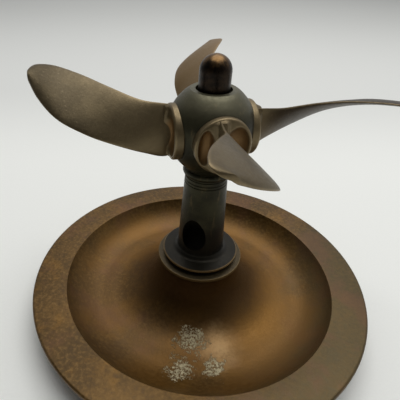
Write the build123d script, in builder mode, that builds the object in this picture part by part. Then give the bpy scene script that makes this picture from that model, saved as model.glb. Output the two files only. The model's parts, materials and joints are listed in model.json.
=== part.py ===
from build123d import *
import os
from math import cos, radians, sin, sqrt

os.makedirs("parts", exist_ok=True)

# Bronze desk ashtray with a four-blade adjustable-pitch propeller on a column.
# Millimetres, +Z up. The origin is on the table, on the column's axis, and the
# snuffer hole in the column faces -Y.

# ---- driving dimensions -------------------------------------------------
dish_radius = 85.0
rim_height = 17.0
rim_thickness = 3.2
rim_inner_radius = 68.5
bowl_floor = 5.0
bowl_side_radius = 20.3
floor_thickness = 2.8
foot_ring_radius = 63.0
foot_ring_width = 5.0

collar_radius = 21.0
collar_top = 31.6
collar_height = 1.5
collar_overhang = 0.6
bolt_seat = 21.0

gasket_radius = 16.4
gasket_thickness = 1.2

flange_radius = 18.5
flange_edge = 1.0
column_base_radius = 11.3
column_top_radius = 9.5
column_top = 77.4
spigot_radius = 6.0
spigot_length = 5.0
ring_line = 0.3

snuffer_radius = 6.0
snuffer_slant = 48.0
snuffer_mouth = 49.7
snuffer_depth = 11.0

bolt_radius = 4.0
bolt_top = 35.0
thread_gap = 0.02
slip_gap = 0.05

spindle_radius = 3.0
stud_radius = 2.2
spindle_bottom = 62.0
spindle_shoulder = 113.0
stud_top = 123.5

thrust_thickness = 0.8
end_play = 0.1
neck_radius = 10.6
neck_height = 3.1
neck_spigot_radius = 8.9
neck_spigot_top = 87.0
bush_radius = 4.5

hub_belly = 100.6
hub_radius = 17.8
hub_top_half = 17.4
hub_bottom_half = 23.0
hub_top = 115.4
cavity_radius = 9.0
cavity_top = 107.5
recess_radius = 7.3
recess_floor = 112.8

cap_radius = 6.3
cap_top = 128.4
cap_washer_thickness = 0.7

blade_axis = 98.6
first_blade_angle = 40.0
palm_radius = 11.4
seat_distance = 13.6
palm_edge = 17.4
palm_round = 0.9
palm_crown = 18.6
pin_radius = 4.0
pin_end = 6.3
nut_radius = 5.4
nut_thickness = 1.9
nut_pocket_radius = 6.2
nut_pocket_wall = 9.9
spring_thickness = 0.9

# How far each blade is turned about its foot pin from the third one's setting.
blade_settings = [13.0, 3.0, 0.0, -2.0]

# Blade offsets, one row per section along the blade: distance from the hub's
# axis, pitch angle, leading edge, trailing edge, rake and thickness. The edges
# are measured along the section's chord from the pin's axis.
blade_sections = [
    (14.5, 90.0, 10.0, -10.2, -2.1, 4.4),
    (19.0, 83.0, 10.6, -10.6, -1.9, 3.8),
    (28.0, 69.0, 12.6, -7.4, -0.8, 3.0),
    (39.5, 54.0, 18.2, -3.8, 1.6, 2.7),
    (51.0, 40.0, 24.6, -0.6, 5.0, 2.4),
    (60.5, 32.0, 29.4, 4.6, 7.1, 2.2),
    (67.0, 29.0, 31.0, 14.6, 7.4, 1.9),
    (69.6, 28.2, 29.3, 21.6, 7.5, 1.7),
    (70.3, 28.0, 27.4, 24.4, 7.6, 1.4),
]
blade_edge = 0.5
blade_camber = 0.9

# Pockets in a blade's foot disc: sideways position, radius and half length.
palm_pockets = [(5.1, 6.6, 10.6), (-7.3, 3.0, 7.4)]
pocket_bottom = 15.3

column_bottom = collar_top + gasket_thickness
neck_bottom = column_top + thrust_thickness + end_play
hub_bottom = neck_bottom + neck_height


# ---- dish: rim, bowl, trumpet-shaped cone with collar, foot ring --------
cone_top_radius = collar_radius - collar_overhang
cone_top = collar_top - collar_height
cone_radius = cone_top - bowl_floor
cone_foot = cone_top_radius + cone_radius
under_radius = cone_radius + floor_thickness
under_floor = bowl_floor - floor_thickness
under_cone = cone_foot - sqrt(under_radius**2 - (cone_top - bolt_seat) ** 2)
foot_inner = foot_ring_radius - foot_ring_width
rim_under = rim_height - rim_thickness
rim_corner = rim_thickness / 2
diagonal = sqrt(0.5)
bowl_depth = rim_height - bowl_floor
bowl_floor_end = rim_inner_radius - sqrt(2 * bowl_side_radius * bowl_depth - bowl_depth**2)
bowl_centre = bowl_floor + bowl_side_radius
side_middle = (bowl_floor_end + rim_inner_radius) / 2
under_side_radius = bowl_side_radius + floor_thickness
rim_under_inner = bowl_floor_end + sqrt(under_side_radius**2 - (bowl_centre - rim_under) ** 2)


def side_height(arc_radius, radius):
    """Height of the bowl's side, or of its underside, at a distance from the axis."""
    return bowl_centre - sqrt(arc_radius**2 - (radius - bowl_floor_end) ** 2)


foot_inner_top = side_height(under_side_radius, foot_inner)
foot_outer_top = side_height(under_side_radius, foot_ring_radius)
inner_middle = (bowl_floor_end + foot_inner) / 2
outer_middle = (foot_ring_radius + rim_under_inner) / 2
with BuildPart() as dish:
    with BuildSketch(Plane.XZ) as dish_section:
        with BuildLine():
            Polyline(
                (cone_top_radius, cone_top),
                (collar_radius, cone_top),
                (collar_radius, collar_top),
                (bolt_radius + 0.4, collar_top),
                (bolt_radius + 0.4, bolt_seat),
                (under_cone, bolt_seat),
            )
            ThreePointArc(
                (under_cone, bolt_seat),
                (cone_foot - under_radius * sin(radians(35)), cone_top - under_radius * cos(radians(35))),
                (cone_foot, under_floor),
            )
            Line((cone_foot, under_floor), (bowl_floor_end, under_floor))
            ThreePointArc(
                (bowl_floor_end, under_floor),
                (inner_middle, side_height(under_side_radius, inner_middle)),
                (foot_inner, foot_inner_top),
            )
            Polyline(
                (foot_inner, foot_inner_top),
                (foot_inner, 0),
                (foot_ring_radius, 0),
                (foot_ring_radius, foot_outer_top),
            )
            ThreePointArc(
                (foot_ring_radius, foot_outer_top),
                (outer_middle, side_height(under_side_radius, outer_middle)),
                (rim_under_inner, rim_under),
            )
            Line((rim_under_inner, rim_under), (dish_radius - rim_corner, rim_under))
            ThreePointArc(
                (dish_radius - rim_corner, rim_under),
                (dish_radius, rim_height - rim_corner),
                (dish_radius - rim_corner, rim_height),
            )
            Line((dish_radius - rim_corner, rim_height), (rim_inner_radius, rim_height))
            ThreePointArc(
                (rim_inner_radius, rim_height),
                (side_middle, side_height(bowl_side_radius, side_middle)),
                (bowl_floor_end, bowl_floor),
            )
            Line((bowl_floor_end, bowl_floor), (cone_foot, bowl_floor))
            ThreePointArc(
                (cone_foot, bowl_floor),
                (cone_foot - cone_radius * diagonal, cone_top - cone_radius * diagonal),
                (cone_top_radius, cone_top),
            )
        make_face()
    revolve(axis=Axis.Z)
    # Seat for the column's spigot.
    with BuildSketch(Plane.XY.offset(column_bottom - spigot_length - 0.2)):
        Circle(spigot_radius + slip_gap)
    extrude(amount=spigot_length + 0.2, mode=Mode.SUBTRACT)
dish.part.label = "dish"
export_step(dish.part, "parts/dish.step")

# ---- dark ring in the groove under the column's flange ------------------
with BuildPart() as flange_gasket:
    with BuildSketch(Plane.XY.offset(collar_top)):
        Circle(gasket_radius)
        Circle(spigot_radius + slip_gap, mode=Mode.SUBTRACT)
    extrude(amount=gasket_thickness)
flange_gasket.part.label = "flange_gasket"
export_step(flange_gasket.part, "parts/flange_gasket.step")

# ---- column: spigot, undercut flange, tapered shaft ---------------------
flange_top = column_bottom + 2.1
shaft_bottom = flange_top + 2.4
with BuildPart() as column:
    with BuildSketch(Plane.XZ) as column_section:
        with BuildLine():
            Polyline(
                (0, column_bottom - spigot_length),
                (spigot_radius, column_bottom - spigot_length),
                (spigot_radius, column_bottom),
                (gasket_radius + 0.4, column_bottom),
                (flange_radius, flange_top - flange_edge),
                (flange_radius, flange_top - 0.3),
                (flange_radius - 0.3, flange_top),
                (column_base_radius + 2.6, flange_top + 0.5),
            )
            ThreePointArc(
                (column_base_radius + 2.6, flange_top + 0.5),
                (column_base_radius + 0.8, shaft_bottom - 1.1),
                (column_base_radius, shaft_bottom + 0.8),
            )
            Polyline(
                (column_base_radius, shaft_bottom + 0.8),
                (column_top_radius, column_top - 0.2),
                (column_top_radius - 0.2, column_top),
                (0, column_top),
                (0, column_bottom - spigot_length),
            )
        make_face()
    revolve(axis=Axis.Z)
    # Tapped holes for the bolt below and the spindle above.
    with BuildSketch(Plane.XY.offset(column_bottom - spigot_length)):
        Circle(bolt_radius + thread_gap)
    extrude(amount=bolt_top + 0.6 - column_bottom + spigot_length, mode=Mode.SUBTRACT)
    with BuildSketch(Plane.XY.offset(spindle_bottom - 1)):
        Circle(spindle_radius + thread_gap)
    extrude(amount=column_top - spindle_bottom + 1, mode=Mode.SUBTRACT)
    # Snuffer hole: a blind bore that slants down into the shaft.
    slant = radians(snuffer_slant)
    inward = (0, cos(slant), -sin(slant))
    start = (0, -column_base_radius - 6 * cos(slant), snuffer_mouth + 6 * sin(slant))
    with BuildSketch(Plane(origin=start, x_dir=(1, 0, 0), z_dir=inward)):
        Circle(snuffer_radius)
    extrude(amount=snuffer_depth + 6, mode=Mode.SUBTRACT)
    # Two fine turned lines just under the top.
    for height in (column_top - 1.6, column_top - 3.0):
        with BuildSketch(Plane.XZ):
            with Locations((column_top_radius + 0.12, height)):
                Circle(ring_line)
        revolve(axis=Axis.Z, mode=Mode.SUBTRACT)
column.part.label = "column"
export_step(column.part, "parts/column.step")

# ---- fixing of the column: plain washer, spring washer, hexagon bolt ----
base_washer_thickness = 1.6
base_spring_thickness = 2.0
bolt_head_height = 5.3
bolt_head_flats = 13.0
base_spring_top = bolt_seat - base_washer_thickness
bolt_head_top = base_spring_top - base_spring_thickness
with BuildPart() as base_washer:
    with BuildSketch(Plane.XY.offset(base_spring_top)):
        Circle(9.0)
        Circle(bolt_radius + 0.3, mode=Mode.SUBTRACT)
    extrude(amount=base_washer_thickness)
base_washer.part.label = "base_washer"
export_step(base_washer.part, "parts/base_washer.step")

with BuildPart() as base_spring_washer:
    with BuildSketch(Plane.XY.offset(bolt_head_top)):
        Circle(6.8)
        Circle(bolt_radius + 0.2, mode=Mode.SUBTRACT)
        with Locations((5.5, 0)):
            Rectangle(4.0, 0.9, mode=Mode.SUBTRACT)
    extrude(amount=base_spring_thickness)
base_spring_washer.part.label = "base_spring_washer"
export_step(base_spring_washer.part, "parts/base_spring_washer.step")

with BuildPart() as base_bolt:
    with BuildSketch(Plane.XY.offset(bolt_head_top - bolt_head_height)):
        RegularPolygon(bolt_head_flats / 2, 6, major_radius=False)
    extrude(amount=bolt_head_height)
    chamfer(base_bolt.faces().sort_by(Axis.Z)[0].edges(), length=0.6)
    with BuildSketch(Plane.XY.offset(bolt_head_top)):
        Circle(bolt_radius)
    extrude(amount=bolt_top - bolt_head_top)
    chamfer(base_bolt.faces().sort_by(Axis.Z)[-1].edges(), length=0.6)
base_bolt.part.label = "base_bolt"
export_step(base_bolt.part, "parts/base_bolt.step")

# ---- spindle: shouldered stud on which the propeller turns --------------
with BuildPart() as spindle:
    with BuildSketch(Plane.XY.offset(spindle_bottom)):
        Circle(spindle_radius)
    extrude(amount=spindle_shoulder - spindle_bottom)
    with BuildSketch(Plane.XY.offset(spindle_shoulder)):
        Circle(stud_radius)
    extrude(amount=stud_top - spindle_shoulder)
    chamfer(spindle.faces().sort_by(Axis.Z)[-1].edges(), length=0.4)
    chamfer(spindle.faces().sort_by(Axis.Z)[0].edges(), length=0.4)
spindle.part.label = "spindle"
export_step(spindle.part, "parts/spindle.step")

with BuildPart() as thrust_washer:
    with BuildSketch(Plane.XY.offset(column_top)):
        Circle(column_top_radius - 0.3)
        Circle(spindle_radius + slip_gap, mode=Mode.SUBTRACT)
    extrude(amount=thrust_thickness)
thrust_washer.part.label = "thrust_washer"
export_step(thrust_washer.part, "parts/thrust_washer.step")

# ---- nose cap and the washer that it clamps on the spindle's shoulder ---
cap_bottom = spindle_shoulder + cap_washer_thickness
with BuildPart() as cap_washer:
    with BuildSketch(Plane.XY.offset(spindle_shoulder)):
        Circle(5.6)
        Circle(stud_radius + slip_gap, mode=Mode.SUBTRACT)
    extrude(amount=cap_washer_thickness)
cap_washer.part.label = "cap_washer"
export_step(cap_washer.part, "parts/cap_washer.step")

dome_bottom = cap_top - cap_radius
with BuildPart() as nose_cap:
    with BuildSketch(Plane.XZ):
        with BuildLine():
            Polyline((0, cap_bottom), (cap_radius - 0.3, cap_bottom), (cap_radius, cap_bottom + 0.3))
            Line((cap_radius, cap_bottom + 0.3), (cap_radius, dome_bottom))
            ThreePointArc(
                (cap_radius, dome_bottom),
                (cap_radius * diagonal, dome_bottom + cap_radius * diagonal),
                (0, cap_top),
            )
            Line((0, cap_top), (0, cap_bottom))
        make_face()
    revolve(axis=Axis.Z)
    with BuildSketch(Plane.XY.offset(cap_bottom)):
        Circle(stud_radius + thread_gap)
    extrude(amount=stud_top + 0.8 - cap_bottom, mode=Mode.SUBTRACT)
nose_cap.part.label = "nose_cap"
export_step(nose_cap.part, "parts/nose_cap.step")

# ---- hub: barrel with four flat seats, open below, recessed on top ------
hub_bottom_radius = hub_radius * sqrt(1 - ((hub_belly - hub_bottom) / hub_bottom_half) ** 2)
hub_top_radius = hub_radius * sqrt(1 - ((hub_top - hub_belly) / hub_top_half) ** 2)
blade_angles = [first_blade_angle + 90 * k for k in range(4)]
with BuildPart() as hub:
    with BuildSketch(Plane.XZ) as hub_section:
        with BuildLine():
            Line((0, hub_bottom), (hub_bottom_radius, hub_bottom))
            Spline(
                *[
                    (
                        hub_radius * sqrt(1 - ((hub_belly - height) / hub_bottom_half) ** 2),
                        height,
                    )
                    for height in (hub_bottom, 86.0, 91.0, 96.0, hub_belly)
                ],
                tangents=[(0.55, 1.0), (0, 1)],
            )
            Spline(
                *[
                    (
                        hub_radius * sqrt(1 - ((height - hub_belly) / hub_top_half) ** 2),
                        height,
                    )
                    for height in (hub_belly, 106.0, 110.5, 113.5, hub_top)
                ],
                tangents=[(0, 1), (-1.0, 0.52)],
            )
            Polyline((hub_top_radius, hub_top), (0, hub_top), (0, hub_bottom))
        make_face()
    revolve(axis=Axis.Z)
    with BuildSketch(Plane.XY.offset(hub_bottom)):
        Circle(cavity_radius)
    extrude(amount=cavity_top - hub_bottom, mode=Mode.SUBTRACT)
    with BuildSketch(Plane.XY.offset(recess_floor)):
        Circle(recess_radius)
    extrude(amount=hub_top - recess_floor, mode=Mode.SUBTRACT)
    with BuildSketch(Plane.XY.offset(cavity_top)):
        Circle(bush_radius)
    extrude(amount=recess_floor - cavity_top, mode=Mode.SUBTRACT)
    for angle in blade_angles:
        outward = (cos(radians(angle)), sin(radians(angle)), 0)
        middle = (0, 0, blade_axis)
        with BuildSketch(Plane(origin=middle, x_dir=(0, 0, 1), z_dir=outward).offset(seat_distance)):
            Circle(palm_radius + 0.1)
        extrude(amount=hub_radius, mode=Mode.SUBTRACT)
        with BuildSketch(Plane(origin=middle, x_dir=(0, 0, 1), z_dir=outward).offset(6)):
            Circle(pin_radius + slip_gap)
        extrude(amount=hub_radius, mode=Mode.SUBTRACT)
        with BuildSketch(Plane(origin=middle, x_dir=(0, 0, 1), z_dir=outward).offset(5)):
            Circle(nut_pocket_radius)
        extrude(amount=nut_pocket_wall - 5, mode=Mode.SUBTRACT)
hub.part.label = "hub"
export_step(hub.part, "parts/hub.step")

# ---- neck ring: beaded ring screwed into the hub's open underside -------
bead_inset = 0.7
with BuildPart() as neck_ring:
    with BuildSketch(Plane.XZ):
        with BuildLine():
            Line((bush_radius, neck_bottom), (neck_radius - bead_inset, neck_bottom))
            ThreePointArc(
                (neck_radius - bead_inset, neck_bottom),
                (neck_radius, neck_bottom + neck_height / 2),
                (neck_radius - bead_inset, hub_bottom),
            )
            Polyline(
                (neck_radius - bead_inset, hub_bottom),
                (neck_spigot_radius, hub_bottom),
                (neck_spigot_radius, neck_spigot_top),
                (bush_radius, neck_spigot_top),
                (bush_radius, neck_bottom),
            )
        make_face()
    revolve(axis=Axis.Z)
neck_ring.part.label = "neck_ring"
export_step(neck_ring.part, "parts/neck_ring.step")

# ---- plain bushes that run on the spindle -------------------------------
with BuildPart() as lower_bush:
    with BuildSketch(Plane.XY.offset(neck_bottom)):
        Circle(bush_radius)
        Circle(spindle_radius + slip_gap, mode=Mode.SUBTRACT)
    extrude(amount=neck_spigot_top - neck_bottom)
lower_bush.part.label = "lower_bush"
export_step(lower_bush.part, "parts/lower_bush.step")

with BuildPart() as upper_bush:
    with BuildSketch(Plane.XY.offset(cavity_top)):
        Circle(bush_radius)
        Circle(spindle_radius + slip_gap, mode=Mode.SUBTRACT)
    extrude(amount=recess_floor - cavity_top)
upper_bush.part.label = "upper_bush"
export_step(upper_bush.part, "parts/upper_bush.step")


# ---- blades -------------------------------------------------------------
def blade_plane(distance, pitch, rake):
    """Plane of a blade section: x along the chord, z along the blade."""
    angle = radians(pitch)
    chord = (0, -cos(angle), sin(angle))
    origin = (distance, rake * sin(angle), rake * cos(angle))
    return Plane(origin=origin, x_dir=chord, z_dir=(1, 0, 0))


with BuildPart() as blade:
    # Foot disc with a slightly crowned face.
    with BuildSketch(Plane.XY):
        with BuildLine():
            Polyline(
                (seat_distance + slip_gap, 0),
                (seat_distance + slip_gap, palm_radius),
                (palm_edge - palm_round, palm_radius),
            )
            ThreePointArc(
                (palm_edge - palm_round, palm_radius),
                (palm_edge - palm_round * (1 - diagonal), palm_radius - palm_round * (1 - diagonal)),
                (palm_edge, palm_radius - palm_round),
            )
            ThreePointArc(
                (palm_edge, palm_radius - palm_round),
                (palm_crown - (palm_crown - palm_edge) / 4, palm_radius / 2),
                (palm_crown, 0),
            )
            Line((palm_crown, 0), (seat_distance + slip_gap, 0))
        make_face()
    revolve(axis=Axis.X)
    # Scooped pockets that leave a thin rim on both sides of the blade's root.
    for side, radius, half_length in palm_pockets:
        middle = (pocket_bottom + radius, side, 0)
        with BuildSketch(Plane(origin=middle, x_dir=(0, 0, 1), z_dir=(0, 1, 0))):
            with BuildLine():
                EllipticalCenterArc((0, 0), half_length, radius, start_angle=0, arc_size=180)
                Line((-half_length, 0), (half_length, 0))
            make_face()
        revolve(axis=Axis(middle, (0, 0, 1)), mode=Mode.SUBTRACT)
    # Foot pin.
    with BuildSketch(Plane.YZ.offset(pin_end)):
        Circle(pin_radius)
    extrude(amount=seat_distance + 1 - pin_end)
    # Twisted blade, lofted through its sections.
    for distance, pitch, lead, trail, rake, thick in blade_sections:
        half = thick / 2
        halfway = (lead + trail) / 2
        with BuildSketch(blade_plane(distance, pitch, rake)):
            with BuildLine():
                ThreePointArc(
                    (trail, -blade_edge),
                    (halfway, -half - blade_camber),
                    (lead, -blade_edge),
                )
                ThreePointArc((lead, -blade_edge), (lead + blade_edge, 0), (lead, blade_edge))
                ThreePointArc(
                    (lead, blade_edge),
                    (halfway, half - blade_camber),
                    (trail, blade_edge),
                )
                ThreePointArc((trail, blade_edge), (trail - blade_edge, 0), (trail, -blade_edge))
            make_face()
    loft()
blade.part.label = "blade"

with BuildPart() as blade_spring:
    with BuildSketch(Plane.YZ.offset(nut_pocket_wall - spring_thickness)):
        Circle(nut_radius)
        Circle(pin_radius + slip_gap, mode=Mode.SUBTRACT)
    extrude(amount=spring_thickness)

with BuildPart() as blade_nut:
    with BuildSketch(Plane.YZ.offset(nut_pocket_wall - spring_thickness - nut_thickness)):
        Circle(nut_radius)
        Circle(pin_radius + thread_gap, mode=Mode.SUBTRACT)
    extrude(amount=nut_thickness)
    # Two slots for a pin spanner.
    with BuildSketch(Plane.YZ.offset(nut_pocket_wall - spring_thickness - nut_thickness)):
        with GridLocations(2 * nut_radius, 0, 2, 1):
            Rectangle(1.6, 1.4)
    extrude(amount=0.9, mode=Mode.SUBTRACT)

for number, (angle, setting) in enumerate(zip(blade_angles, blade_settings), start=1):
    place = Location((0, 0, blade_axis), (0, 0, angle)) * Location((0, 0, 0), (setting, 0, 0))
    for piece, name in ((blade, "blade"), (blade_spring, "blade_spring"), (blade_nut, "blade_nut")):
        placed = piece.part.moved(place)
        placed.label = f"{name}_{number}"
        export_step(placed, f"parts/{name}_{number}.step")
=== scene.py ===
import json
from math import cos, pi, radians, sin, sqrt

import bpy
from mathutils import Matrix, Vector


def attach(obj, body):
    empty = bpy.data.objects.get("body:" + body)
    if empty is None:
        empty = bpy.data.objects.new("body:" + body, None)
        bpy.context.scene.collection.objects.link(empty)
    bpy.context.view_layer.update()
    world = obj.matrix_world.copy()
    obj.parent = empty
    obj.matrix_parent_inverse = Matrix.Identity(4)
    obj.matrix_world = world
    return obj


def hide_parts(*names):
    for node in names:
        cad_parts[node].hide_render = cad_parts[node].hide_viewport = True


# Bronze desk ashtray with an adjustable-pitch ship propeller. Lengths in the
# shape code are in millimetres and are turned to metres in make_mesh().

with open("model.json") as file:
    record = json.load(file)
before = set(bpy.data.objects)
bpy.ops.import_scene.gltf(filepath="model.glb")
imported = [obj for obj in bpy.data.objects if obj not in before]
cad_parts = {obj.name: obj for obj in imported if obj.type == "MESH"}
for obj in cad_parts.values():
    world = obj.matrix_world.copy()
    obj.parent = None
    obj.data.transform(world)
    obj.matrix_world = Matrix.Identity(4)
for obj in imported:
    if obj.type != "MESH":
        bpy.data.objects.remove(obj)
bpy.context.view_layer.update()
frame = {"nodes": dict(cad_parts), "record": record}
MM = 0.001


# ---- shader helpers -----------------------------------------------------
class Shader:
    """A Principled material built from a few kinds of node."""

    def __init__(self, name, metallic, roughness):
        self.material = bpy.data.materials.new(name)
        self.material.use_nodes = True
        self.tree = self.material.node_tree
        self.tree.nodes.clear()
        self.surface = self.tree.nodes.new("ShaderNodeBsdfPrincipled")
        output = self.tree.nodes.new("ShaderNodeOutputMaterial")
        self.tree.links.new(self.surface.outputs["BSDF"], output.inputs["Surface"])
        self.surface.inputs["Metallic"].default_value = metallic
        self.surface.inputs["Roughness"].default_value = roughness
        coordinates = self.tree.nodes.new("ShaderNodeTexCoord")
        scaled = self.tree.nodes.new("ShaderNodeVectorMath")
        scaled.operation = "SCALE"
        scaled.inputs["Scale"].default_value = 1000.0
        self.tree.links.new(coordinates.outputs["Object"], scaled.inputs[0])
        self.place = scaled.outputs[0]

    def put(self, value, socket):
        """Links a socket, or sets a plain value."""
        if isinstance(value, bpy.types.NodeSocket):
            self.tree.links.new(value, socket)
        else:
            socket.default_value = value

    def noise(self, scale, detail=4.0, roughness=0.55, stretch=(1, 1, 1), shift=0.0):
        node = self.tree.nodes.new("ShaderNodeTexNoise")
        node.inputs["Scale"].default_value = scale
        node.inputs["Detail"].default_value = detail
        node.inputs["Roughness"].default_value = roughness
        mapping = self.tree.nodes.new("ShaderNodeMapping")
        mapping.inputs["Scale"].default_value = stretch
        mapping.inputs["Location"].default_value = (shift, 2 * shift, -shift)
        self.tree.links.new(self.place, mapping.inputs["Vector"])
        self.tree.links.new(mapping.outputs[0], node.inputs["Vector"])
        return node.outputs["Fac"]

    def ramp(self, value, low, high, start=0.0, end=1.0):
        """value mapped from low..high to start..end, smoothly and clamped."""
        node = self.tree.nodes.new("ShaderNodeMapRange")
        node.interpolation_type = "SMOOTHSTEP"
        self.put(value, node.inputs["Value"])
        node.inputs["From Min"].default_value = low
        node.inputs["From Max"].default_value = high
        node.inputs["To Min"].default_value = start
        node.inputs["To Max"].default_value = end
        return node.outputs["Result"]

    def math(self, operation, a, b=0.0):
        node = self.tree.nodes.new("ShaderNodeMath")
        node.operation = operation
        self.put(a, node.inputs[0])
        self.put(b, node.inputs[1])
        return node.outputs[0]

    def mix(self, factor, a, b):
        node = self.tree.nodes.new("ShaderNodeMix")
        node.data_type = "RGBA"
        self.put(factor, node.inputs[0])
        self.put(a, node.inputs[6])
        self.put(b, node.inputs[7])
        return node.outputs[2]

    def attribute(self, name):
        node = self.tree.nodes.new("ShaderNodeAttribute")
        node.attribute_name = name
        return node.outputs["Fac"]

    def parts(self):
        """x, y, z and the distance from the column's axis, in mm."""
        node = self.tree.nodes.new("ShaderNodeSeparateXYZ")
        self.tree.links.new(self.place, node.inputs[0])
        x, y, z = node.outputs
        r = self.math("SQRT", self.math("ADD", self.math("MULTIPLY", x, x), self.math("MULTIPLY", y, y)))
        return x, y, z, r

    def distance(self, point, stretch=(1, 1, 1)):
        """Distance in mm from a point given in mm."""
        away = self.tree.nodes.new("ShaderNodeVectorMath")
        away.operation = "SUBTRACT"
        self.tree.links.new(self.place, away.inputs[0])
        away.inputs[1].default_value = point
        scaled = self.tree.nodes.new("ShaderNodeVectorMath")
        scaled.operation = "MULTIPLY"
        self.tree.links.new(away.outputs[0], scaled.inputs[0])
        scaled.inputs[1].default_value = stretch
        length = self.tree.nodes.new("ShaderNodeVectorMath")
        length.operation = "LENGTH"
        self.tree.links.new(scaled.outputs[0], length.inputs[0])
        return length.outputs["Value"]

    def finish(self, color, roughness=None, height=None, depth=0.05):
        """Sets the colour, roughness and a bump whose full height is depth mm."""
        self.put(color, self.surface.inputs["Base Color"])
        if roughness is not None:
            self.put(roughness, self.surface.inputs["Roughness"])
        if height is not None:
            bump = self.tree.nodes.new("ShaderNodeBump")
            bump.inputs["Strength"].default_value = 1.0
            bump.inputs["Distance"].default_value = depth * MM
            self.put(height, bump.inputs["Height"])
            self.tree.links.new(bump.outputs[0], self.surface.inputs["Normal"])
        return self.material


def rgb(r, g, b):
    """Linear colour from display values of 0 to 255."""
    linear = [(v / 255 / 12.92 if v < 10 else ((v / 255 + 0.055) / 1.055) ** 2.4) for v in (r, g, b)]
    return (*linear, 1.0)


# ---- materials ----------------------------------------------------------
def dish_bronze():
    s = Shader("dish_bronze", 0.62, 0.44)
    x, y, z, r = s.parts()
    broad = s.noise(0.03, 5.0, 0.6)
    patches = s.noise(0.075, 6.0, 0.62, shift=11.0)
    fine = s.noise(0.6, 5.0, 0.65, shift=5.0)
    speckle = s.noise(2.6, 3.0, 0.6, shift=2.0)
    color = s.mix(s.ramp(broad, 0.36, 0.64), rgb(80, 59, 26), rgb(102, 75, 34))
    color = s.mix(s.ramp(patches, 0.52, 0.72, 0, 0.6), color, rgb(126, 90, 34))
    color = s.mix(s.ramp(patches, 0.46, 0.3, 0, 0.55), color, rgb(74, 58, 34))
    color = s.mix(s.ramp(fine, 0.48, 0.68, 0, 0.45), color, rgb(136, 106, 62))
    color = s.mix(s.ramp(fine, 0.5, 0.34, 0, 0.45), color, rgb(58, 42, 20))
    # Olive on the +X side and reddish brown on the other.
    tint = s.noise(0.045, 4.0, 0.6, shift=23.0)
    sideways = s.math("ADD", x, s.math("MULTIPLY", s.math("SUBTRACT", tint, 0.5), 120.0))
    color = s.mix(s.ramp(sideways, 25, 70, 0, 0.6), color, rgb(74, 68, 44))
    color = s.mix(s.ramp(tint, 0.5, 0.66, 0, 0.4), color, rgb(104, 70, 50))
    wander = s.math("MULTIPLY", s.math("SUBTRACT", patches, 0.5), 14.0)
    # The bowl's floor is golden brown, with an orange stain beside the column.
    bowl = s.ramp(s.math("ADD", r, wander), 70, 60)
    color = s.mix(s.math("MULTIPLY", bowl, s.ramp(broad, 0.4, 0.6, 0.3, 0.7)), color, rgb(112, 76, 20))
    stain = s.ramp(s.math("ADD", s.distance((34, 0, 9), (1.0, 0.6, 1.0)), wander), 19, 7)
    color = s.mix(s.math("MULTIPLY", stain, 0.6), color, rgb(128, 88, 22))
    # Darker along the bowl's side, and painted shade on the steep cone under the collar.
    side = s.math("MULTIPLY", s.ramp(s.math("ADD", r, wander), 58, 68), s.ramp(r, 69.0, 68.2))
    cone_shade = s.ramp(s.math("ADD", r, wander), 42, 25)
    cone_shade = s.math("MULTIPLY", cone_shade, s.ramp(z, 30.2, 29.6))
    color = s.mix(s.math("MULTIPLY", side, 0.2), color, rgb(84, 62, 14))
    color = s.mix(s.math("MULTIPLY", cone_shade, 0.75), color, rgb(58, 38, 8))
    # The collar has the column's dark patina, and a painted highlight on its rounded outer edge.
    collar = s.ramp(z, 29.8, 30.3)
    wear_and_highlight = s.math("MULTIPLY", collar, s.ramp(r, 20.5, 20.9, 0, 0.6))
    color = s.mix(s.math("MULTIPLY", collar, 0.85), color, rgb(58, 52, 34))
    color = s.mix(wear_and_highlight, color, rgb(132, 110, 70))
    # Painted highlight: a bright patch on the bowl's floor, where the overhead light reflects.
    painted_highlight = s.ramp(s.math("ADD", s.distance((25, -31, 7)), s.math("MULTIPLY", wander, 1.2)), 14, 1)
    painted_highlight = s.math("MULTIPLY", painted_highlight, s.ramp(fine, 0.3, 0.65, 0.3, 0.6))
    color = s.mix(painted_highlight, color, rgb(186, 152, 104))
    # Small pits.
    pits = s.ramp(speckle, 0.3, 0.22)
    color = s.mix(s.math("MULTIPLY", pits, 0.6), color, rgb(44, 32, 18))
    # Pale crusts left on the bowl's floor.
    crust = 0.0
    ragged = s.math("MULTIPLY", s.math("SUBTRACT", s.noise(0.22, 4.0, 0.6, shift=41.0), 0.5), 22.0)
    for spot, reach in SPOTS:
        near = s.ramp(s.math("ADD", s.distance(spot), ragged), reach, reach * 0.3)
        crust = s.math("MAXIMUM", near, crust)
    grain = s.noise(1.1, 6.0, 0.8, shift=31.0)
    flakes = s.ramp(s.math("ADD", grain, s.math("MULTIPLY", crust, 0.11)), 0.55, 0.63)
    crust = s.math("MULTIPLY", flakes, s.ramp(crust, 0.02, 0.25))
    color = s.mix(s.math("MULTIPLY", crust, 0.85), color, rgb(214, 204, 170))
    rough = s.math("ADD", s.ramp(fine, 0.3, 0.7, 0.38, 0.52), s.math("MULTIPLY", crust, 0.4))
    height = s.math("ADD", s.math("MULTIPLY", fine, 1.0), s.math("MULTIPLY", crust, 1.2))
    height = s.math("SUBTRACT", height, s.math("MULTIPLY", pits, 0.5))
    return s.finish(color, rough, height, 0.09)


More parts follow.
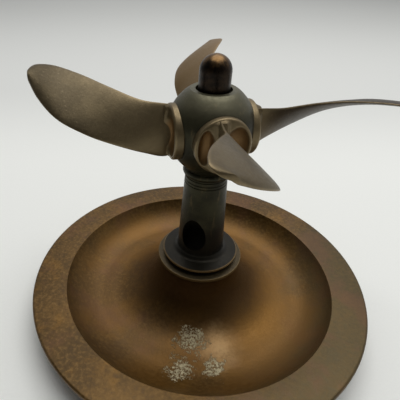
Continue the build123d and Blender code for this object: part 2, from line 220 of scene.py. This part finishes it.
def patina_bronze():
    s = Shader("patina_bronze", 0.7, 0.42)
    x, y, z, r = s.parts()
    broad = s.noise(0.09, 5.0, 0.6)
    fine = s.noise(0.9, 5.0, 0.65, shift=7.0)
    wear_and_highlight = s.noise(0.5, 5.0, 0.6, stretch=(1, 1, 0.25), shift=3.0)
    color = s.mix(s.ramp(broad, 0.35, 0.65), rgb(34, 32, 18), rgb(56, 53, 34))
    color = s.mix(s.ramp(wear_and_highlight, 0.56, 0.8, 0, 0.6), color, rgb(112, 94, 62))
    color = s.mix(s.ramp(fine, 0.6, 0.8, 0, 0.3), color, rgb(122, 118, 96))
    # Painted highlight on the flange's rounded top edge.
    flange_highlight = s.math("MULTIPLY", s.ramp(r, 17.9, 18.35), s.ramp(z, 36.0, 35.2))
    # Painted shade: the column is painted darker towards its foot.
    low = s.ramp(s.math("ADD", z, s.math("MULTIPLY", broad, 16.0)), 72, 52)
    color = s.mix(s.math("MULTIPLY", low, 0.8), color, rgb(22, 18, 12))
    color = s.mix(s.math("MULTIPLY", flange_highlight, 0.6), color, rgb(150, 122, 78))
    # Painted light: paler colour on the hub's top, where the light falls.
    color = s.mix(s.ramp(z, 104, 114, 0, 0.6), color, rgb(112, 108, 86))
    rough = s.ramp(fine, 0.3, 0.7, 0.36, 0.5)
    return s.finish(color, rough, fine, 0.05)


def blade_bronze():
    s = Shader("blade_bronze", 0.7, 0.42)
    broad = s.noise(0.07, 5.0, 0.62, shift=9.0)
    fine = s.noise(0.9, 5.0, 0.65, shift=4.0)
    scratches = s.noise(1.6, 3.0, 0.5, stretch=(0.25, 1, 1), shift=17.0)
    x, y, z, r = s.parts()
    color = s.mix(s.ramp(broad, 0.36, 0.64), rgb(82, 71, 50), rgb(102, 89, 64))
    # Lighter towards the hub and golden on the +Y blades; painted shade makes the +X one dark brown.
    color = s.mix(s.ramp(r, 55, 20, 0, 0.5), color, rgb(128, 112, 82))
    back = s.math("MULTIPLY", s.ramp(y, 12, 30), s.ramp(x, 12, -4))
    color = s.mix(s.math("MULTIPLY", back, 0.75), color, rgb(136, 108, 66))
    right = s.math("MULTIPLY", s.ramp(y, 2, 12), s.ramp(x, 14, 26))
    color = s.mix(s.math("MULTIPLY", right, 0.8), color, rgb(40, 30, 18))
    color = s.mix(s.ramp(fine, 0.55, 0.8, 0, 0.4), color, rgb(140, 120, 90))
    color = s.mix(s.ramp(scratches, 0.62, 0.76, 0, 0.35), color, rgb(150, 134, 104))
    pocket = s.attribute("pocket")
    color = s.mix(s.math("MULTIPLY", pocket, 0.8), color, rgb(116, 84, 44))
    # Painted highlight: lighter, smoother metal along the blades' rounded edges and the foot's rim,
    # broken up by noise.
    edge = s.attribute("edge")
    painted_highlight = s.math("MULTIPLY", edge, s.ramp(fine, 0.3, 0.6, 0.5, 1.0))
    color = s.mix(s.math("MULTIPLY", painted_highlight, 0.45), color, rgb(158, 138, 102))
    rough = s.math("SUBTRACT", s.ramp(fine, 0.3, 0.7, 0.38, 0.5), s.math("MULTIPLY", painted_highlight, 0.12))
    return s.finish(color, rough, fine, 0.05)


def cap_bronze():
    s = Shader("cap_bronze", 0.8, 0.32)
    x, y, z, r = s.parts()
    patches = s.noise(0.3, 5.0, 0.62, shift=6.0)
    fine = s.noise(1.2, 5.0, 0.65)
    color = s.mix(s.ramp(patches, 0.35, 0.65), rgb(22, 16, 10), rgb(42, 30, 18))
    # Painted light: the cap turns paler and golden towards its top, with a ragged border.
    height = s.math("ADD", z, s.math("MULTIPLY", s.math("SUBTRACT", patches, 0.5), 9.0))
    color = s.mix(s.ramp(height, 124.5, 129.5, 0, 0.8), color, rgb(130, 98, 56))
    return s.finish(color, s.ramp(fine, 0.3, 0.7, 0.26, 0.42), fine, 0.04)


def machined(name, metallic, base, light, roughness):
    """Turned metal with fine grooves round the axis."""
    s = Shader(name, metallic, roughness)
    grooves = s.noise(3.0, 2.0, 0.5, stretch=(0.1, 0.1, 3))
    stain = s.noise(0.4, 5.0, 0.6)
    color = s.mix(s.ramp(stain, 0.35, 0.65), base, light)
    return s.finish(color, s.ramp(grooves, 0.3, 0.7, roughness - 0.06, roughness + 0.08), grooves, 0.02)


def black_ring():
    s = Shader("black_ring", 0.0, 0.75)
    grain = s.noise(2.4, 4.0, 0.6)
    color = s.mix(s.ramp(grain, 0.35, 0.65), rgb(14, 13, 12), rgb(26, 24, 22))
    return s.finish(color, s.ramp(grain, 0.3, 0.7, 0.68, 0.82), grain, 0.04)


def floor_paper():
    s = Shader("floor_paper", 0.0, 0.9)
    x, y, z, r = s.parts()
    grain = s.noise(0.8, 4.0, 0.6)
    # Painted shade: the sheet is painted darker towards the back of the studio, where less light falls.
    away = s.math("SUBTRACT", s.math("MULTIPLY", y, 0.89), s.math("MULTIPLY", x, 0.456))
    color = s.mix(s.ramp(away, 130, 340), rgb(245, 246, 241), rgb(226, 227, 223))
    color = s.mix(s.ramp(away, 340, 1000), color, rgb(212, 213, 209))
    color = s.mix(s.ramp(grain, 0.3, 0.7, 0, 0.04), color, rgb(180, 180, 176))
    return s.finish(color, None, grain, 0.01)


SPOTS = [((12.5, -34, 7), 8), ((15, -48, 5), 8), ((28, -41, 5), 6)]

finishes = {
    "dish_bronze": dish_bronze(),
    "patina_bronze": patina_bronze(),
    "blade_bronze": blade_bronze(),
    "cap_bronze": cap_bronze(),
    "brass_bush": machined("brass_bush", 1.0, rgb(188, 156, 92), rgb(206, 176, 112), 0.3),
    "steel_bright": machined("steel_bright", 1.0, rgb(176, 176, 178), rgb(198, 198, 200), 0.28),
    "steel_zinc": machined("steel_zinc", 1.0, rgb(168, 168, 164), rgb(190, 190, 184), 0.36),
    "black_ring": black_ring(),
}
slot_of = {part["node"]: part["material_slot"] for part in frame["record"]["subparts"]}
for node_name, piece in frame["nodes"].items():
    for material_slot in piece.material_slots:
        material_slot.link = "OBJECT"
        material_slot.material = finishes[slot_of[node_name]]


# ---- mesh helpers -------------------------------------------------------
def make_mesh(name, points, faces, finish, turn=Matrix.Identity(4), weights=None):
    """A smooth-shaded object from points in mm, placed in the shared frame."""
    mesh = bpy.data.meshes.new(name)
    mesh.from_pydata([tuple((turn @ Vector(p)) * MM) for p in points], [], faces)
    for attribute, values in (weights or {}).items():
        layer = mesh.attributes.new(attribute, "FLOAT", "POINT")
        layer.data.foreach_set("value", values)
    mesh.polygons.foreach_set("use_smooth", [True] * len(mesh.polygons))
    mesh.materials.append(finishes[finish])
    mesh.validate()
    piece = bpy.data.objects.new(name, mesh)
    bpy.context.collection.objects.link(piece)
    return piece


def grid_faces(rows, columns, start=0, flip=False):
    """Quads between rows of points that close on themselves."""
    faces = []
    for i in range(rows - 1):
        for j in range(columns):
            k = (j + 1) % columns
            quad = [start + i * columns + j, start + i * columns + k,
                    start + (i + 1) * columns + k, start + (i + 1) * columns + j]
            faces.append(quad[::-1] if flip else quad)
    return faces


def rounded(corners, steps=5):
    """A closed outline of (r, z, radius) corners with those radii rounded off."""
    outline = []
    count = len(corners)
    for i, (r, z, radius) in enumerate(corners):
        here = Vector((r, z))
        if radius == 0:
            outline.append((r, z))
            continue
        before = (Vector(corners[i - 1][:2]) - here).normalized()
        after = (Vector(corners[(i + 1) % count][:2]) - here).normalized()
        half = before.angle(after) / 2
        reach = radius / max(0.05, abs(sin(half) / cos(half)))
        start = here + before * reach
        end = here + after * reach
        for k in range(steps + 1):
            t = k / steps
            point = start * (1 - t) ** 2 + here * 2 * t * (1 - t) + end * t * t
            outline.append((point.x, point.y))
    return outline


def lathe(outline, segments):
    """Points and faces of a closed outline turned about Z."""
    points = []
    for r, z in outline:
        for j in range(segments):
            a = 2 * pi * j / segments
            points.append((r * cos(a), r * sin(a), z))
    faces = grid_faces(len(outline), segments)
    last = (len(outline) - 1) * segments
    for j in range(segments):
        k = (j + 1) % segments
        faces.append([last + j, last + k, k, j])
    return points, faces


# ---- dish ---------------------------------------------------------------
CONE_FOOT = 45.5
CONE_TOP = 30.1
CONE_RADIUS = 25.1
BOWL_EDGE = 49.975
BOWL_CENTRE = 25.3
BOWL_RADIUS = 20.3
FLOOR_THICKNESS = 2.8


def cone_arc(radius, start, end, steps):
    """Points on the dish's trumpet-shaped cone, by angle from straight down."""
    return [
        (CONE_FOOT - radius * sin(start + (end - start) * k / steps),
         CONE_TOP - radius * cos(start + (end - start) * k / steps), 0)
        for k in range(steps + 1)
    ]


def bowl_side(radius, start, end, steps):
    """Points on the bowl's curved side, by distance from the column's axis."""
    return [
        (r, BOWL_CENTRE - sqrt(radius**2 - (r - BOWL_EDGE) ** 2), 0)
        for r in (start + (end - start) * k / steps for k in range(steps + 1))
    ]


dish_corners = (
    [(4.4, 21.0, 0), (4.4, 27.6, 0), (6.05, 27.6, 0), (6.05, 31.6, 0.15)]
    + [(21.0, 31.6, 0.35), (21.0, 30.1, 0.3)]
    + cone_arc(CONE_RADIUS, radians(89), radians(2), 40)
    + bowl_side(BOWL_RADIUS, 50.4, 68.0, 36)
    + [(68.5, 17.0, 0.3), (84.95, 17.0, 1.3), (84.95, 13.8, 1.4)]
    + bowl_side(BOWL_RADIUS + FLOOR_THICKNESS, 70.0, 63.4, 12)
    + [(63.0, 6.2, 0), (63.0, 0.0, 0.4), (58.0, 0.0, 0.4), (58.0, 3.4, 0.3)]
    + bowl_side(BOWL_RADIUS + FLOOR_THICKNESS, 57.5, 50.2, 12)
    + cone_arc(CONE_RADIUS + FLOOR_THICKNESS, radians(1), radians(71), 24)
)
dish_points, dish_faces = lathe(rounded(dish_corners), 288)
dish = make_mesh("bronze_dish", dish_points, [face[::-1] for face in dish_faces], "dish_bronze")
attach(dish, "stand")
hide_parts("dish")


# ---- blades -------------------------------------------------------------
BLADE_AXIS = 98.6
FIRST_ANGLE = 40.0
SETTINGS = [13.0, 3.0, 0.0, -2.0]
TIP = 70.5
EDGE = 0.5
CAMBER = 0.9
# Distance from the axis, pitch, leading edge, trailing edge, rake, thickness.
SECTIONS = [
    (14.5, 90.0, 10.0, -10.2, -2.1, 4.4),
    (19.0, 83.0, 10.6, -10.6, -1.9, 3.8),
    (28.0, 69.0, 12.6, -7.4, -0.8, 3.0),
    (39.5, 54.0, 18.2, -3.8, 1.6, 2.7),
    (51.0, 40.0, 24.6, -0.6, 5.0, 2.4),
    (60.5, 32.0, 29.4, 4.6, 7.1, 2.2),
    (67.0, 29.0, 31.0, 14.6, 7.4, 1.9),
    (69.6, 28.2, 29.3, 21.6, 7.5, 1.7),
    (TIP, 28.0, 25.9, 25.5, 7.6, 1.4),
]
PALM_RADIUS = 11.4
PALM_BACK = 13.65
PALM_EDGE = 17.4
PALM_CROWN = 18.6
PALM_ROUND = 0.9
POCKETS = [(5.1, 6.6, 10.6), (-7.3, 3.0, 7.4)]
POCKET_BOTTOM = 15.3


def curve_at(keys, values, key):
    """Cubic through the values at rising keys."""
    last = len(keys) - 1
    i = 0
    while i < last - 1 and key > keys[i + 1]:
        i += 1

    def slope(k):
        a = max(k - 1, 0)
        b = min(k + 1, last)
        return (values[b] - values[a]) / (keys[b] - keys[a])

    width = keys[i + 1] - keys[i]
    t = (key - keys[i]) / width
    return (
        values[i] * (2 * t**3 - 3 * t**2 + 1)
        + values[i + 1] * (3 * t**2 - 2 * t**3)
        + slope(i) * width * (t**3 - 2 * t**2 + t)
        + slope(i + 1) * width * (t**3 - t**2)
    )


def blade_shell(rows=84, columns=64):
    """The twisted blade: points, faces and how near each point is to an edge."""
    keys = [-sqrt(TIP - section[0]) for section in SECTIONS]
    columns_of = list(zip(*SECTIONS))
    points = []
    edges = []
    for i in range(rows):
        key = keys[0] * (1 - i / (rows - 1))
        x = TIP - key * key
        pitch, lead, trail, rake, thick = [curve_at(keys, values, key) for values in columns_of[1:]]
        centre = (lead + trail) / 2
        half = max((lead - trail) / 2, 0.05) + EDGE * min(1, (lead - trail) / 4)
        shrink = min(1.0, half / 2.5)
        beta = radians(pitch)
        for j in range(columns):
            a = 2 * pi * j / columns
            c = cos(a)
            t = centre + half * c
            side = 1 if sin(a) >= 0 else -1
            lens = (thick / 2 - EDGE) * (1 - c * c) + EDGE * sqrt(max(0.0, 1 - c**8))
            h = (side * lens + CAMBER * (1 - c * c)) * shrink + rake
            points.append((x, -cos(beta) * t + sin(beta) * h, sin(beta) * t + cos(beta) * h))
            # Weight for the painted edge highlight, faded out towards the hub.
            from_edge = min(half * (1 - abs(c)), TIP - x + 0.2)
            edges.append(max(0.0, 1 - from_edge / 0.7) * min(1.0, max(0.0, (x - 22) / 6)))
    faces = grid_faces(rows, columns)
    faces.append([j for j in range(columns)][::-1])
    faces.append([(rows - 1) * columns + j for j in range(columns)])
    return points, faces, edges


def palm_face(y, z):
    """Height of the foot disc's face at a place, and how deep in a pocket it is."""
    r2 = y * y + z * z
    dome = PALM_CROWN - (PALM_CROWN - PALM_EDGE) * r2 / PALM_RADIUS**2
    face = dome
    for side, radius, half_length in POCKETS:
        inside = 1 - (z / half_length) ** 2 - ((y - side) / radius) ** 2
        if inside > 0:
            scoop = POCKET_BOTTOM + radius - radius * sqrt(inside)
            blur = 0.35
            gap = max(blur - abs(face - scoop), 0.0) / blur
            face = min(face, scoop) - gap * gap * blur / 4
    depth = max(0.0, dome - face)
    # A fillet where the blade rises from the disc.
    along = min(max(z, -9.6), 8.8)
    away = max(0.0, sqrt((y + 2.1) ** 2 + (z - along) ** 2) - 1.9)
    fillet = 1.5 * max(0.0, 1 - away / 1.8) ** 2
    return face + fillet, min(1.0, depth / 1.2)


def palm_shell(rings=48, segments=144):
    """The foot disc with its pockets, rim, back and pin."""
    points = []
    pocket = []
    edge = []
    for i in range(rings):
        r = (PALM_RADIUS - PALM_ROUND) * max(0.004, i / (rings - 1))
        for j in range(segments):
            a = 2 * pi * j / segments
            y = r * cos(a)
            z = r * sin(a)
            height, depth = palm_face(y, z)
            points.append((height, y, z))
            pocket.append(depth)
            edge.append(0.0)
    rim = [
        (PALM_EDGE - PALM_ROUND * (1 - cos(radians(b))), PALM_RADIUS - PALM_ROUND * (1 - sin(radians(b))))
        for b in (18, 36, 54, 72, 90)
    ]
    wall = [(15.4, PALM_RADIUS), (14.2, PALM_RADIUS), (PALM_BACK + 0.3, PALM_RADIUS)]
    wall += [(PALM_BACK, PALM_RADIUS - 0.3), (PALM_BACK, 4.3)]
    wall += [(PALM_BACK - 0.3, 4.0), (6.7, 4.0), (6.3, 3.6)]
    for x, r in rim + wall:
        for j in range(segments):
            a = 2 * pi * j / segments
            points.append((x, r * cos(a), r * sin(a)))
            pocket.append(0.0)
            # The foot's rounded rim gets half weight in the painted edge highlight.
            edge.append(0.5 if (x, r) in rim[1:4] else 0.0)
    rows = rings + len(rim) + len(wall)
    faces = grid_faces(rows, segments)
    faces.append([j for j in range(segments)][::-1])
    faces.append([(rows - 1) * segments + j for j in range(segments)])
    return points, faces, pocket, edge


shell_points, shell_faces, shell_edge = blade_shell()
foot_points, foot_faces, foot_pocket, foot_edge = palm_shell()
blade_points = shell_points + foot_points
blade_faces = shell_faces + [[v + len(shell_points) for v in face] for face in foot_faces]
blade_weights = {
    "edge": shell_edge + foot_edge,
    "pocket": [0.0] * len(shell_points) + foot_pocket,
}
ORDER = ["first", "second", "third", "fourth"]
for number in range(1, 5):
    turn = (
        Matrix.Translation((0, 0, BLADE_AXIS))
        @ Matrix.Rotation(radians(FIRST_ANGLE + 90 * (number - 1)), 4, "Z")
        @ Matrix.Rotation(radians(SETTINGS[number - 1]), 4, "X")
    )
    blade = make_mesh(
        f"bronze_blade_{number}", blade_points, blade_faces, "blade_bronze", turn, blade_weights
    )
    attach(blade, f"{ORDER[number - 1]}_blade")
    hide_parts(f"blade_{number}")


# ---- floor, lights and camera -------------------------------------------
floor_mesh = bpy.data.meshes.new("floor")
floor_mesh.from_pydata([(-4, -3, 0), (4, -3, 0), (4, 6, 0), (-4, 6, 0)], [], [[0, 1, 2, 3]])
floor_mesh.materials.append(floor_paper())
floor = bpy.data.objects.new("floor", floor_mesh)
bpy.context.collection.objects.link(floor)


def soft_light(name, place, target, size, power):
    lamp = bpy.data.lights.new(name, "AREA")
    lamp.shape = "RECTANGLE"
    lamp.size, lamp.size_y = size
    lamp.energy = power
    holder = bpy.data.objects.new(name, lamp)
    holder.location = place
    direction = Vector(target) - Vector(place)
    holder.rotation_euler = direction.to_track_quat("-Z", "Y").to_euler()
    bpy.context.collection.objects.link(holder)


soft_light("overhead", (0.0, 0.4, 1.3), (0.0, 0.25, 0), (1.3, 1.3), 14)
# Studio surroundings: bright behind the object and dim on the camera's side.
world = bpy.data.worlds.new("studio")
world.use_nodes = True
sky = world.node_tree
direction = sky.nodes.new("ShaderNodeTexCoord")
split = sky.nodes.new("ShaderNodeSeparateXYZ")
level = sky.nodes.new("ShaderNodeMapRange")
level.interpolation_type = "SMOOTHSTEP"
level.inputs["From Min"].default_value = -0.7
level.inputs["From Max"].default_value = 0.9
level.inputs["To Min"].default_value = 0.05
level.inputs["To Max"].default_value = 0.6
sky.links.new(direction.outputs["Generated"], split.inputs[0])
sky.links.new(split.outputs["Y"], level.inputs["Value"])
sky.links.new(level.outputs["Result"], sky.nodes["Background"].inputs["Strength"])
sky.nodes["Background"].inputs["Color"].default_value = (0.98, 0.985, 1.0, 1)
bpy.context.scene.world = world
bpy.context.scene.view_settings.view_transform = "Standard"

# The camera stands in front, above and to the right, and leans a little.
CAMERA_TURN = 20.8
CAMERA_PLACE = (0, -0.14768, 0.16301)
right = Vector((0.9919, 0.1251, 0.022))
up = Vector((-0.0903, 0.5726, 0.8148))
ahead = Vector((-0.0893, 0.8102, -0.5793))
camera_data = bpy.data.cameras.new("camera")
camera_data.sensor_width = 36
camera_data.lens = 34.2
camera_data.shift_x = 0.077
camera_data.shift_y = 0.0163
camera_data.clip_start = 0.01
camera = bpy.data.objects.new("camera", camera_data)
pose = Matrix((right, up, -ahead)).transposed().to_4x4()
pose.translation = Vector(CAMERA_PLACE)
camera.matrix_world = Matrix.Rotation(radians(CAMERA_TURN), 4, "Z") @ pose
bpy.context.collection.objects.link(camera)
bpy.context.scene.camera = camera
